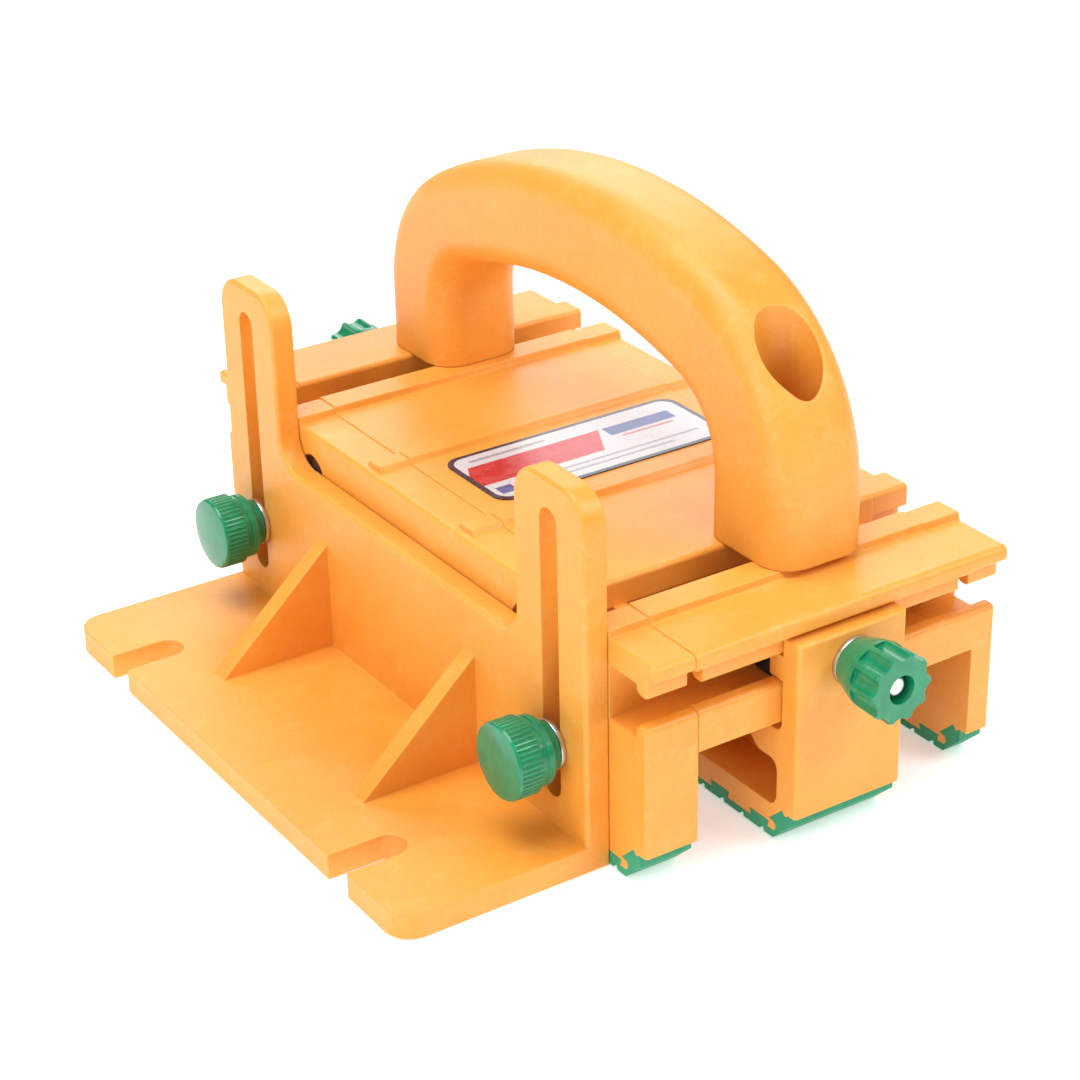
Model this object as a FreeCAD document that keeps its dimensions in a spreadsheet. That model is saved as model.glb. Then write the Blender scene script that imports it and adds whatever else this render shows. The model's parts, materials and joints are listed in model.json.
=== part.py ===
import FreeCAD, Part
import math
import os
import Sketcher

# Adjustable push block for a table saw: a bridge-shaped body on three treaded legs,
# with a carrying handle, a sliding centre leg and a bolt-on balance support.
# Frame: +X across the block, +Y along its length, +Z up, origin under the middle of the
# whole block on the surface it stands on. Millimetres throughout.

V = FreeCAD.Vector
doc = FreeCAD.newDocument("push_block")
sheet = doc.addObject("Spreadsheet::Sheet", "Sizes")

# Driving dimensions. Heights called "_drop" are measured down from the deck's top.
SIZES = {
    "overall_width": 140.0,
    "deck_top": 54.2,
    "body_width": 90.3,
    "lip_half": 90.4,
    "end_half": 87.4,
    "step_half": 74.8,
    "slot_outer": 66.8,
    "slot_inner": 58.1,
    "deck_step": 49.9,
    "panel_drop": 1.5,
    "lip_drop": 5.4,
    "slot_lip": 5.1,
    "body_lip": 6.0,
    "relief": 0.25,
    "channel_top": 7.4,
    "hook_drop": 10.2,
    "hook_inner": 83.5,
    "channel_wall": 74.6,
    "channel_skin": 3.2,
    "sill_drop": 16.4,
    "channel_floor": 19.8,
    "bar_drop": 25.7,
    "end_wall": 3.2,
    "deck_seam": 9.8,
    "left_leg_width": 12.7,
    "right_leg_width": 6.0,
    "right_foot_seam": 12.1,
    "hook_gap": 2.9,
    "leg_drop": 52.5,
    "leg_toe_drop": 46.6,
    "ridge_middle": 19.0,
    "ridge_base": 6.2,
    "ridge_crest": 4.4,
    "ridge_rise": 1.2,
    "centre_left": 33.05,
    "centre_width": 27.7,
    "plate_face": 92.9,
    "plate_drop": 6.3,
    "plate_back": 87.7,
    "beam_drop": 28.0,
    "web": 5.0,
    "slip": 0.2,
    "key_rise": 1.6,
    "key_width": 6.4,
    "groove_width": 1.4,
    "groove_depth": 0.8,
    "handle_middle": 52.6,
    "handle_width": 24.0,
    "handle_near": 76.9,
    "handle_far": 79.3,
    "handle_top": 62.2,
    "handle_round": 7.3,
    "well_radius": 6.9,
    "well_offset": 0.9,
    "well_floor": 11.0,
    "thread_radius": 2.4,
    "bolt_drop": 13.35,
    "knob_drop": 29.6,
    "knob_half": 62.3,
    "plate_thick": 5.4,
    "plate_half": 74.5,
    "base_reach": 49.7,
    "base_thick": 5.7,
    "arm_inner": 49.7,
    "arm_rise": 29.5,
    "wall_drop": 10.6,
    "arm_slot": 3.05,
    "arm_slot_top": 20.2,
    "arm_slot_bottom": 38.9,
    "base_slot_middle": 50.2,
    "base_slot": 3.9,
    "base_slot_end": 37.8,
    "gusset_middle": 31.3,
    "gusset_thick": 4.6,
    "gusset_reach": 28.5,
    "gusset_rise": 26.5,
    "label_length": 62.0,
    "label_width": 25.0,
    "label_thick": 0.3,
}
for row, (alias, amount) in enumerate(SIZES.items(), start=1):
    sheet.set("A%d" % row, alias)
    sheet.set("B%d" % row, str(amount))
    sheet.setAlias("B%d" % row, alias)
doc.recompute()


class Size:
    """A length that keeps the spreadsheet expression it comes from beside its value."""

    def __init__(self, value, text):
        self.value = float(value)
        self.text = text

    def __add__(self, other):
        other = as_size(other)
        return Size(self.value + other.value, "(%s + %s)" % (self.text, other.text))

    def __sub__(self, other):
        other = as_size(other)
        return Size(self.value - other.value, "(%s - %s)" % (self.text, other.text))

    def __mul__(self, factor):
        return Size(self.value * factor, "(%s * %.6f)" % (self.text, factor))

    def __neg__(self):
        return Size(-self.value, "(0 - %s)" % self.text)

    def __radd__(self, other):
        return as_size(other) + self

    def __rsub__(self, other):
        return as_size(other) - self


def as_size(thing):
    """Plain numbers become sizes too, so both can be mixed in one sum."""
    if isinstance(thing, Size):
        return thing
    return Size(thing, "%.6f" % thing)


def dim(alias):
    return Size(SIZES[alias], "Sizes." + alias)


def bind(feature, prop, size):
    feature.setExpression(prop, as_size(size).text)


# ---------------------------------------------------------------- geometry helpers

PLANES = {
    "YZ": (V(0, 1, 0), V(0, 0, 1), V(1, 0, 0)),
    "XZ": (V(1, 0, 0), V(0, 0, 1), V(0, -1, 0)),
    "XY": (V(1, 0, 0), V(0, 1, 0), V(0, 0, 1)),
}
UP = {"YZ": V(1, 0, 0), "XZ": V(0, 1, 0), "XY": V(0, 0, 1)}
count = [0]


def fresh(kind, name):
    """A helper object with a numbered name, so that labels of finished parts stay free."""
    count[0] += 1
    return doc.addObject(kind, "%s_%03d" % (name, count[0]))


def box(xs, ys, zs):
    """Box between two X, two Y and two Z sizes."""
    made = fresh("Part::Box", "block")
    for side, span in (("Length", xs), ("Width", ys), ("Height", zs)):
        bind(made, side, as_size(span[1]) - span[0])
    for axis, span in (("x", xs), ("y", ys), ("z", zs)):
        bind(made, "Placement.Base." + axis, span[0])
    return made


def rod(axis, centre, radius, length):
    """Cylinder that starts at centre and runs along +X, +Y or +Z."""
    made = fresh("Part::Cylinder", "rod")
    bind(made, "Radius", radius)
    bind(made, "Height", length)
    turn = {"x": (V(0, 1, 0), 90), "y": (V(1, 0, 0), -90), "z": (V(0, 0, 1), 0)}[axis]
    made.Placement = FreeCAD.Placement(V(), FreeCAD.Rotation(*turn))
    for letter, place in zip("xyz", centre):
        bind(made, "Placement.Base." + letter, place)
    return made


def outline(plane, corners):
    """Closed sketch whose corners are each held at two bound distances from the origin."""
    sketch = fresh("Sketcher::SketchObject", "outline")
    sketch.Placement = FreeCAD.Placement(V(), FreeCAD.Rotation(*PLANES[plane], "ZXY"))
    points = [(as_size(u), as_size(v)) for u, v in corners]
    places = [V(u.value, v.value, 0) for u, v in points]
    lines = [Part.LineSegment(places[i - 1], places[i]) for i in range(len(places))]
    sketch.addGeometry(lines, False)
    rules = []
    for i in range(len(points)):
        rules.append(Sketcher.Constraint("Coincident", i - 1 if i else len(points) - 1, 2, i, 1))
    for i, (u, v) in enumerate(points):
        rules.append(Sketcher.Constraint("DistanceX", -1, 1, i, 2, u.value))
        rules.append(Sketcher.Constraint("DistanceY", -1, 1, i, 2, v.value))
    sketch.addConstraint(rules)
    for i, (u, v) in enumerate(points):
        first = len(points) + 2 * i
        sketch.setExpression("Constraints[%d]" % first, u.text)
        sketch.setExpression("Constraints[%d]" % (first + 1), v.text)
    return sketch


def extrude(sketch, plane, low, high):
    made = fresh("Part::Extrusion", "prism")
    made.Base = sketch
    made.DirMode = "Custom"
    made.Dir = UP[plane]
    made.Solid = True
    bind(made, "LengthFwd", high)
    bind(made, "LengthRev", -as_size(low))
    return made


def prism(plane, corners, low, high):
    return extrude(outline(plane, corners), plane, low, high)


def fuse(*pieces):
    made = fresh("Part::MultiFuse", "fused")
    made.Shapes = list(pieces)
    made.Refine = True
    return made


def cut(base, *tools):
    made = fresh("Part::Cut", "cut")
    made.Base = base
    made.Tool = tools[0] if len(tools) == 1 else fuse(*tools)
    made.Refine = True
    return made


def mirrored(piece, normal):
    made = fresh("Part::Mirroring", "mirror")
    made.Source = piece
    made.Normal = normal
    return made


def both_ends(piece):
    """The piece and its mirror image at the other end of the block."""
    return [piece, mirrored(piece, V(0, 1, 0))]


def rounded(piece, *rules):
    """One fillet over every edge that a rule wants; a rule is a radius and a test."""
    doc.recompute()
    made = fresh("Part::Fillet", "rounded")
    made.Base = piece
    picks = []
    for number, edge in enumerate(piece.Shape.Edges, start=1):
        middle = edge.valueAt((edge.FirstParameter + edge.LastParameter) / 2)
        along = edge.tangentAt((edge.FirstParameter + edge.LastParameter) / 2)
        for radius, wanted in rules:
            if wanted(middle, along):
                picks.append((number, radius, radius))
                break
    if not picks:
        raise RuntimeError("no edge to round on " + piece.Name)
    made.Edges = picks
    return made


def near(a, b, within=0.05):
    return abs(a - b) < within


def along_x(direction):
    return abs(direction.x) > 0.99


def along_y(direction):
    return abs(direction.y) > 0.99


def along_z(direction):
    return abs(direction.z) > 0.99


def ring(axis, centre, outer, inner, length):
    """Flat washer or sleeve."""
    return cut(rod(axis, centre, outer, length), rod(axis, centre, inner, length))


def hexagon(axis, centre, flats, length):
    """Six-sided prism from centre along +X, +Y or +Z, two flats facing along Z or X."""
    corner = flats / math.sqrt(3)
    points = []
    for k in range(6):
        angle = math.radians(60 * k)
        points.append((corner * math.cos(angle), corner * math.sin(angle)))
    plane = {"x": "YZ", "y": "XZ", "z": "XY"}[axis]
    pair = {"x": (1, 2), "y": (0, 2), "z": (0, 1)}[axis]
    corners = [(centre[pair[0]] + u, centre[pair[1]] + v) for u, v in points]
    start = as_size(centre["xyz".index(axis)])
    return prism(plane, corners, start, start + length)


# ---------------------------------------------------------------- shared positions

right = dim("overall_width") * 0.5
left = right - dim("body_width")
top = dim("deck_top")
slip = dim("slip")
end = dim("end_half")


def down(size):
    """Height of something that lies this far under the deck's top."""
    return top - size


deck_seam_left = left + dim("deck_seam")
deck_seam_right = right - dim("deck_seam")
foot_seam_left = left + dim("left_leg_width")
foot_seam_right = right - dim("right_foot_seam")
leg_bottom = down(dim("leg_drop"))
toe = down(dim("leg_toe_drop"))
bolt_height = down(dim("bolt_drop"))
knob_height = down(dim("knob_drop"))
centre_left = left + dim("centre_left")
centre_right = centre_left + dim("centre_width")
centre_middle = centre_left + dim("centre_width") * 0.5
handle_middle = left + dim("handle_middle")
thread = dim("thread_radius")

parts = {}


def part(label, piece):
    """Names a finished sub-part."""
    piece.Label = label
    parts[label] = piece
    return piece


# ---------------------------------------------------------------- deck and end pieces

def rail_section(relief, lip):
    """Section of one rail: slot edge, top plate, outer lip, hook and channel ceiling."""
    skin = dim("channel_wall") - dim("channel_skin")
    panel = down(dim("panel_drop")) - relief
    return [
        (dim("slot_outer") + relief, top - relief),
        (dim("step_half") - 0.5, top - relief),
        (dim("step_half"), panel),
        (dim("lip_half") - relief, panel),
        (dim("lip_half") - relief, down(dim("lip_drop")) + relief),
        (end - relief, down(dim("lip_drop")) + relief),
        (end - relief, down(dim("hook_drop")) + relief),
        (dim("hook_inner"), down(dim("hook_drop")) + relief),
        (dim("hook_inner"), down(dim("channel_top"))),
        (skin, down(dim("channel_top"))),
        (skin, down(lip)),
        (dim("slot_outer") + relief, down(lip)),
    ]


def sill_section(relief):
    """Section of the lower cross-bar: back wall, channel floor and upstanding sill."""
    skin = dim("channel_wall") - dim("channel_skin")
    return [
        (skin, down(dim("channel_top"))),
        (dim("channel_wall"), down(dim("channel_top"))),
        (dim("channel_wall"), down(dim("channel_floor"))),
        (dim("hook_inner"), down(dim("channel_floor"))),
        (dim("hook_inner"), down(dim("sill_drop")) - relief),
        (end - relief, down(dim("sill_drop")) - relief),
        (end - relief, down(dim("bar_drop"))),
        (skin, down(dim("bar_drop"))),
    ]


def deck_section(relief, lip):
    """Half of the deck's section, from its middle to the slot: panel, ridge and step."""
    low = down(dim("panel_drop")) - relief
    crest = low + dim("ridge_rise")
    base_half = dim("ridge_base") * 0.5
    crest_half = dim("ridge_crest") * 0.5
    return [
        (as_size(0), low),
        (dim("ridge_middle") - base_half, low),
        (dim("ridge_middle") - crest_half, crest),
        (dim("ridge_middle") + crest_half, crest),
        (dim("ridge_middle") + base_half, low),
        (dim("deck_step") - 0.3, low),
        (dim("deck_step") + 0.3, top - relief),
        (dim("slot_inner") - relief, top - relief),
        (dim("slot_inner") - relief, down(lip)),
        (as_size(0), down(lip)),
    ]


def rounding(y_at, z_at, radius):
    """Rule for an edge that runs along X through the given distance and height."""
    return (
        radius,
        lambda p, t: along_x(t) and near(abs(p.y), y_at.value) and near(p.z, z_at.value),
    )


def rail(x_low, x_high, hook_low, hook_high, relief, lip):
    """One rail with its hook cut short where a seam leaves a gap in it."""
    piece = prism("YZ", rail_section(relief, lip), x_low, x_high)
    heights = (down(dim("hook_drop")) - 1, down(dim("lip_drop")) + relief)
    span = (dim("hook_inner") - 0.5, end + 0.5)
    trims = []
    if hook_low.value > x_low.value:
        trims.append(box((x_low - 1, hook_low), span, heights))
    if hook_high.value < x_high.value:
        trims.append(box((hook_high, x_high + 1), span, heights))
    roof = box((x_low, x_high), (dim("hook_inner") - 1, end - relief), (heights[1], heights[1] + 1))
    if trims:
        piece = fuse(cut(piece, *trims), roof)
    lip_edge = dim("lip_half") - relief
    hook_foot = down(dim("hook_drop")) + relief
    return rounded(
        piece,
        rounding(dim("slot_outer") + relief, top - relief, 1.1),
        rounding(lip_edge, down(dim("panel_drop")) - relief, 1.5),
        rounding(lip_edge, down(dim("lip_drop")) + relief, 0.9),
        rounding(dim("hook_inner"), hook_foot, 2.0),
        rounding(end - relief, hook_foot, 0.8),
    )


def sill(x_low, x_high, relief):
    """One lower cross-bar with its upstanding sill eased."""
    piece = prism("YZ", sill_section(relief), x_low, x_high)
    crown = down(dim("sill_drop")) - relief
    return rounded(
        piece,
        rounding(dim("hook_inner"), crown, 1.3),
        rounding(end - relief, crown, 1.3),
        rounding(dim("hook_inner"), down(dim("channel_floor")), 1.2),
    )


def half_deck(x_low, x_high, relief, lip):
    """Deck panel from the block's middle to one slot, with its ridge eased."""
    piece = prism("YZ", deck_section(relief, lip), x_low, x_high)
    low = down(dim("panel_drop")) - relief
    crest_half = dim("ridge_crest") * 0.5
    crest = low + dim("ridge_rise")
    return rounded(
        piece,
        rounding(dim("slot_inner") - relief, top - relief, 1.1),
        rounding(dim("ridge_middle") - crest_half, crest, 0.6),
        rounding(dim("ridge_middle") + crest_half, crest, 0.6),
    )


def bridge(deck_span, sill_span, hook_span, relief, lip):
    """Deck, two rails and two cross-bars between the given X positions."""
    pieces = []
    for piece in (
        rail(*deck_span, *hook_span, relief, lip),
        sill(*sill_span, relief),
        half_deck(*deck_span, relief, lip),
    ):
        pieces += both_ends(piece)
    return pieces


def upright(x_low, x_high, lip):
    """Upright wall under the deck that ties the two cross-bars together."""
    reach = dim("channel_wall") - dim("channel_skin")
    return box((x_low, x_high), (-reach, reach), (down(dim("bar_drop")), down(lip)))


wall_left = (foot_seam_left, foot_seam_left + dim("end_wall"))
wall_right = (foot_seam_right - dim("end_wall"), foot_seam_right)
body_lip = dim("body_lip")
body_pieces = bridge(
    (deck_seam_left, deck_seam_right),
    (foot_seam_left, foot_seam_right),
    (foot_seam_left + 0.7, deck_seam_right - 1.3),
    as_size(0),
    body_lip,
)
body_pieces.append(upright(*wall_left, body_lip))
body_pieces.append(upright(*wall_right, body_lip))
# Two ribs under the deck stiffen it between the end walls.
RIB_Y = 52.0
for side in (-1, 1):
    rib_y = (as_size(side * RIB_Y - 1.5), as_size(side * RIB_Y + 1.5))
    rib_z = (down(as_size(14.0)), down(body_lip))
    body_pieces.append(box((wall_left[0], wall_right[1]), rib_y, rib_z))
deck = fuse(*body_pieces)

SCREW_Y = 44.5
SCREW_DROP = 12.4
CLEARANCE = 0.25


def leg_screw_centre(side, x_at):
    return (as_size(x_at), as_size(side * SCREW_Y), down(as_size(SCREW_DROP)))


screw_holes = []
for side in (-1, 1):
    for wall in (wall_left, wall_right):
        start = leg_screw_centre(side, wall[0] - 1)
        screw_holes.append(rod("x", start, thread + CLEARANCE, dim("end_wall") + 2))
part("body_deck", cut(deck, *screw_holes))


# ---------------------------------------------------------------- side legs

KEY_Z = dim("key_rise")
TOE_INSET = 2.0
TOE_DEPTH = 2.8
TOE_RAMP = 7.1
LAST_KEY = 11.8
KEY_STEPS = 6

# Line between leg and tread at an end: distance in from the leg's end, height above the
# tread line. A hooked nib of the leg reaches down between the last key and the toe.
TOE_LINE = [
    (8.7, 0.0),
    (8.5, 0.15),
    (6.9, 0.1),
    (6.2, 1.1),
    (6.7, 2.1),
    (8.4, 2.5),
    (4.3, 6.3),
    (3.6, 5.5),
    (3.0, 5.3),
    (2.4, 5.9),
]


def foot_section(reach):
    """Underside of a leg seen from its side: a flat, and a toe recess at each end."""
    half = [(as_size(reach - inset), leg_bottom + rise) for inset, rise in TOE_LINE]
    toe_ends = half + [(as_size(reach - TOE_INSET), toe)]
    return [(-u, v) for u, v in reversed(toe_ends)] + toe_ends


def tread_keys(reach, x_low, x_high):
    """Row of slightly undercut keys that stand on a tread and bite into its leg."""
    period = (reach - LAST_KEY) / KEY_STEPS
    half = SIZES["key_width"] / 2
    keys = []
    for k in range(-KEY_STEPS, KEY_STEPS + 1):
        middle = k * period
        corners = [
            (middle - half + 0.5, leg_bottom - 0.4),
            (middle - half, leg_bottom + KEY_Z),
            (middle + half, leg_bottom + KEY_Z),
            (middle + half - 0.5, leg_bottom - 0.4),
        ]
        keys.append(prism("YZ", corners, x_low, x_high))
    return keys


def grip_grooves(reach, x_low, x_high):
    """Small grooves across the underside of a tread."""
    rows = 2 * KEY_STEPS
    period = (reach - TOE_RAMP - 3.8) / rows
    half = SIZES["groove_width"] / 2
    grooves = []
    for k in range(-rows, rows + 1):
        span = (as_size(k * period - half), as_size(k * period + half))
        grooves.append(box((x_low - 1, x_high + 1), span, (-1, dim("groove_depth"))))
    return grooves


def leg_profile(reach, top_height):
    """Side view of a leg, from its tread line up to top_height."""
    return foot_section(reach) + [
        (reach, toe),
        (reach, top_height),
        (-reach, top_height),
        (-reach, toe),
    ]


def tread_profile(reach):
    """Side view of a tread: the leg's line on top, a ramp below each end."""
    front = as_size(reach - TOE_INSET)
    heel = as_size(reach - TOE_RAMP)
    return foot_section(reach) + [
        (front, toe - TOE_DEPTH),
        (heel, 0),
        (-heel, 0),
        (-front, toe - TOE_DEPTH),
    ]


def leg(x_low, x_high, reach):
    """Plain leg wall, from just inside the cross-bar down to its tread."""
    wall = prism("YZ", leg_profile(reach, down(dim("bar_drop")) + 1), x_low, x_high)
    return cut(wall, *tread_keys(reach, x_low - 1, x_high + 1))


SLOT_POCKET = (as_size(55.2), as_size(69.6))
SLOT_POCKET_DROP = 16.0


def slot_cuts(x_low, x_high):
    """Keeps both deck slots open through an end piece, wider below the deck's edge."""
    floor = down(as_size(SLOT_POCKET_DROP))
    relief = dim("relief")
    reach = (x_low - 1, x_high + 1)
    mouth = box(reach, (dim("slot_inner") - relief, dim("slot_outer") + relief), (floor, top + 1))
    pocket = box(reach, SLOT_POCKET, (floor, down(dim("slot_lip"))))
    return both_ends(mouth) + both_ends(pocket)


leg_reach = SIZES["end_half"] - SIZES["relief"]


def side_leg(deck_span, foot_span, leg_span, hook_span):
    """End piece of the deck, rails and cross-bars together with its leg."""
    relief = dim("relief")
    lip = dim("slot_lip")
    pieces = bridge(deck_span, foot_span, hook_span, relief, lip)
    pieces.append(leg(*leg_span, leg_reach))
    pieces.append(upright(*deck_span, lip))
    pieces.append(upright(*foot_span, dim("body_lip") + 0.2))
    return cut(fuse(*pieces), *slot_cuts(*foot_span))


left_shape = side_leg(
    (left, deck_seam_left),
    (left, foot_seam_left),
    (left, foot_seam_left),
    (left, deck_seam_left + 0.7),
)
right_shape = side_leg(
    (deck_seam_right, right),
    (foot_seam_right, right),
    (right - dim("right_leg_width"), right),
    (deck_seam_right + 1.6, right),
)

HEAD_RADIUS = 4.6
HEAD_DEPTH = 4.0
INSERT_RADIUS = 3.6
INSERT_LENGTH = 9.5

left_tools = []
right_tools = []
for side in (-1, 1):
    through = dim("left_leg_width") + 2
    left_tools.append(rod("x", leg_screw_centre(side, left - 1), thread + CLEARANCE, through))
    left_tools.append(rod("x", leg_screw_centre(side, left - 1), HEAD_RADIUS + 0.4, HEAD_DEPTH + 1))
    right_tools.append(
        rod("x", leg_screw_centre(side, foot_seam_right - 1), thread + CLEARANCE, dim("right_foot_seam") + 2)
    )
    right_tools.append(rod("x", leg_screw_centre(side, right - HEAD_DEPTH), HEAD_RADIUS + 0.4, HEAD_DEPTH + 1))
    insert_at = (left - 1, as_size(side * SIZES["knob_half"]), knob_height)
    left_tools.append(rod("x", insert_at, INSERT_RADIUS, INSERT_LENGTH + 1))


def trim_ridges(piece, x_low, x_high):
    """Ends the deck's two ridges short of a leg's outer face."""
    panel = down(dim("panel_drop")) - dim("relief")
    reach = dim("deck_step") - 0.5
    return cut(piece, box((x_low, x_high), (-reach, reach), (panel, top + 1)))


def soften_outer_edges(piece, x_at):
    """Rounds a leg's outer face along its top and down its four corners."""
    panel = (down(dim("panel_drop")) - dim("relief")).value
    reaches = (leg_reach, SIZES["lip_half"] - SIZES["relief"])
    return rounded(
        piece,
        (1.2, lambda p, t: along_y(t) and near(p.x, x_at.value) and near(p.z, panel)
            and abs(p.y) < SIZES["deck_step"]),
        (0.8, lambda p, t: along_z(t) and near(p.x, x_at.value)
            and any(near(abs(p.y), reach) for reach in reaches)),
    )


left_trimmed = trim_ridges(left_shape, left - 1, left + 2.2)
right_trimmed = trim_ridges(right_shape, right - 2.2, right + 1)
part("left_leg", cut(soften_outer_edges(left_trimmed, left), *left_tools))
part("right_leg", cut(soften_outer_edges(right_trimmed, right), *right_tools))


# ---------------------------------------------------------------- centre leg

def centre_outline():
    """Side view of the centre leg: a low beam with a plate and a guide tongue at each end."""
    half = [
        (dim("plate_back"), down(dim("beam_drop"))),
        (dim("plate_back"), bolt_height - 2.8),
        (dim("hook_inner"), bolt_height - 2.8),
        (dim("hook_inner"), bolt_height + 2.8),
        (dim("plate_back"), bolt_height + 2.8),
        (dim("plate_back"), down(dim("plate_drop"))),
        (dim("plate_face"), down(dim("plate_drop"))),
        (dim("plate_face"), toe),
    ]
    near_half = [(-u, v) for u, v in half]
    return foot_section(SIZES["plate_face"]) + list(reversed(half)) + near_half


def pocket_outline(rib_gap):
    """Lightening pocket of one half of the beam, stepped down under the cross-bar."""
    floor = down(as_size(46.3))
    roof = down(as_size(31.5))
    under_bar = down(as_size(35.4))
    return [
        (as_size(rib_gap), floor),
        (as_size(rib_gap), roof),
        (as_size(76.0), roof),
        (as_size(80.2), under_bar),
        (as_size(86.6), under_bar),
        (as_size(86.6), floor),
    ]


def soften_pocket(piece):
    """Rounds a pocket's corners that are low or close to its plate."""
    return rounded(
        piece, (2.6, lambda p, t: along_x(t) and (abs(p.y) > 79 or p.z < down(as_size(40)).value))
    )


beam = prism("YZ", centre_outline(), centre_left, centre_right)
beam = rounded(
    beam,
    (2.0, lambda p, t: along_x(t) and near(abs(p.y), SIZES["plate_back"])
        and near(p.z, down(dim("beam_drop")).value)),
    (1.0, lambda p, t: near(abs(p.y), SIZES["plate_face"]) and p.z > toe.value + 1
        and (along_z(t) or along_x(t))),
    (0.6, lambda p, t: along_x(t) and near(abs(p.y), SIZES["hook_inner"])),
)
pocket_depth = (dim("centre_width") - dim("web")) * 0.5
pockets = []
for x_from, x_to in (
    (centre_left - 1, centre_left + pocket_depth),
    (centre_right - pocket_depth, centre_right + 1),
):
    pockets += both_ends(soften_pocket(prism("YZ", pocket_outline(30.0), x_from, x_to)))
    pockets.append(
        box((x_from, x_to), (as_size(-27.0), as_size(27.0)), (down(as_size(46.3)), down(as_size(31.5))))
    )
bolt_way = []
for side in (-1, 1):
    start = as_size(side * SIZES["hook_inner"]) - 5 if side > 0 else as_size(-SIZES["plate_face"] - 5)
    bolt_way.append(rod("y", (centre_middle, start, bolt_height), thread + CLEARANCE, 20))
key_ways = tread_keys(SIZES["plate_face"], centre_left - 1, centre_right + 1)
part("centre_leg", cut(beam, *(pockets + bolt_way + key_ways)))


# ---------------------------------------------------------------- treads

def tread(label, reach, x_low, x_high):
    """Rubber sole keyed into the underside of a leg."""
    pad = fuse(prism("YZ", tread_profile(reach), x_low, x_high), *tread_keys(reach, x_low, x_high))
    return part(label, cut(pad, *grip_grooves(reach, x_low, x_high)))


tread("left_tread", leg_reach, left, foot_seam_left)
tread("right_tread", leg_reach, right - dim("right_leg_width"), right)
tread("centre_tread", SIZES["plate_face"], centre_left, centre_right)


# ---------------------------------------------------------------- handle

NEAR_ARC = 45.6
TOP_ARC = 136.5
FAR_ARC = 34.0
NEAR_ARC_RISE = 12.0
GRIP = 26.4
NEAR_THROAT = 16.4
TOP_THROAT = 132.0
FAR_THROAT = 13.4
NEAR_FOOT = 27.2
FAR_FOOT = 26.3


def arc_chain(near_y, far_y, crown, radii, near_rise):
    """Three tangent arcs between two uprights, as points for Part.Arc."""
    r1, r2, r3 = radii
    c1 = (near_y + r1, near_rise)
    c2z = crown - r2
    c2y = c1[0] + math.sqrt((r2 - r1) ** 2 - (c1[1] - c2z) ** 2)
    c3y = far_y - r3
    c3z = c2z + math.sqrt((r2 - r3) ** 2 - (c3y - c2y) ** 2)

    def reach(centre, other, radius):
        """Point of a circle on the line from the other arc's centre through its own."""
        dy = centre[0] - other[0]
        dz = centre[1] - other[1]
        length = math.hypot(dy, dz)
        return (centre[0] + dy / length * radius, centre[1] + dz / length * radius)

    join1 = reach(c1, (c2y, c2z), r1)
    join2 = reach((c3y, c3z), (c2y, c2z), r3)

    def on(centre, radius, a, b):
        """Middle of the arc between two points of a circle."""
        my = (a[0] + b[0]) / 2 - centre[0]
        mz = (a[1] + b[1]) / 2 - centre[1]
        length = math.hypot(my, mz)
        return (centre[0] + my / length * radius, centre[1] + mz / length * radius)

    start = (near_y, near_rise)
    finish = (far_y, c3z)
    return [
        (start, on(c1, r1, start, join1), join1),
        (join1, on((c2y, c2z), r2, join1, join2), join2),
        (join2, on((c3y, c3z), r3, join2, finish), finish),
    ]


def handle_shape():
    """D-shaped grip: two tangent-arc outlines, extruded and rounded all round."""
    base = top.value
    near_y = -SIZES["handle_near"]
    far_y = SIZES["handle_far"]
    crown = SIZES["handle_top"]
    outer = arc_chain(near_y, far_y, crown, (NEAR_ARC, TOP_ARC, FAR_ARC), NEAR_ARC_RISE)
    inner = arc_chain(
        near_y + NEAR_FOOT,
        far_y - FAR_FOOT,
        crown - GRIP,
        (NEAR_THROAT, TOP_THROAT, FAR_THROAT),
        NEAR_ARC_RISE + 1.7,
    )
    x_low = handle_middle.value - SIZES["handle_width"] / 2

    def at(p):
        return V(x_low, p[0], base + p[1])

    edges = []
    for chain in (outer, inner):
        first = chain[0][0]
        last = chain[-1][2]
        edges.append(Part.LineSegment(at((first[0], 0)), at(first)).toShape())
        for a, m, b in chain:
            edges.append(Part.Arc(at(a), at(m), at(b)).toShape())
        edges.append(Part.LineSegment(at(last), at((last[0], 0))).toShape())
    for side in (0, -1):
        a = outer[side][0 if side == 0 else 2][0]
        b = inner[side][0 if side == 0 else 2][0]
        edges.append(Part.LineSegment(at((a, 0)), at((b, 0))).toShape())
    wire = Part.Wire(Part.__sortEdges__(edges))
    solid = Part.Face(wire).extrude(V(SIZES["handle_width"], 0, 0))
    sides = []
    for edge in solid.Edges:
        middle = edge.valueAt((edge.FirstParameter + edge.LastParameter) / 2)
        on_side = near(middle.x, x_low) or near(middle.x, x_low + SIZES["handle_width"])
        if on_side and middle.z > base + 0.1:
            sides.append(edge)
    return solid.makeFillet(SIZES["handle_round"], sides)


HANDLE_BOLT_Y = {-1: -63.8, 1: 63.8}
HANDLE_LIFT = 0.15
WELL_ROUND = 0.35
well_middle = handle_middle - dim("well_offset")


def bolt_well(y_at):
    """Upright well through the grip's shoulder, down to the seat of a bolt head."""
    seat = V(well_middle.value, y_at, top.value + SIZES["well_floor"])
    well = Part.makeCylinder(SIZES["well_radius"], 80, seat)
    shank = V(well_middle.value, y_at, top.value - 1)
    return well.fuse(Part.makeCylinder(thread.value + CLEARANCE, 20, shank))


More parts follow.
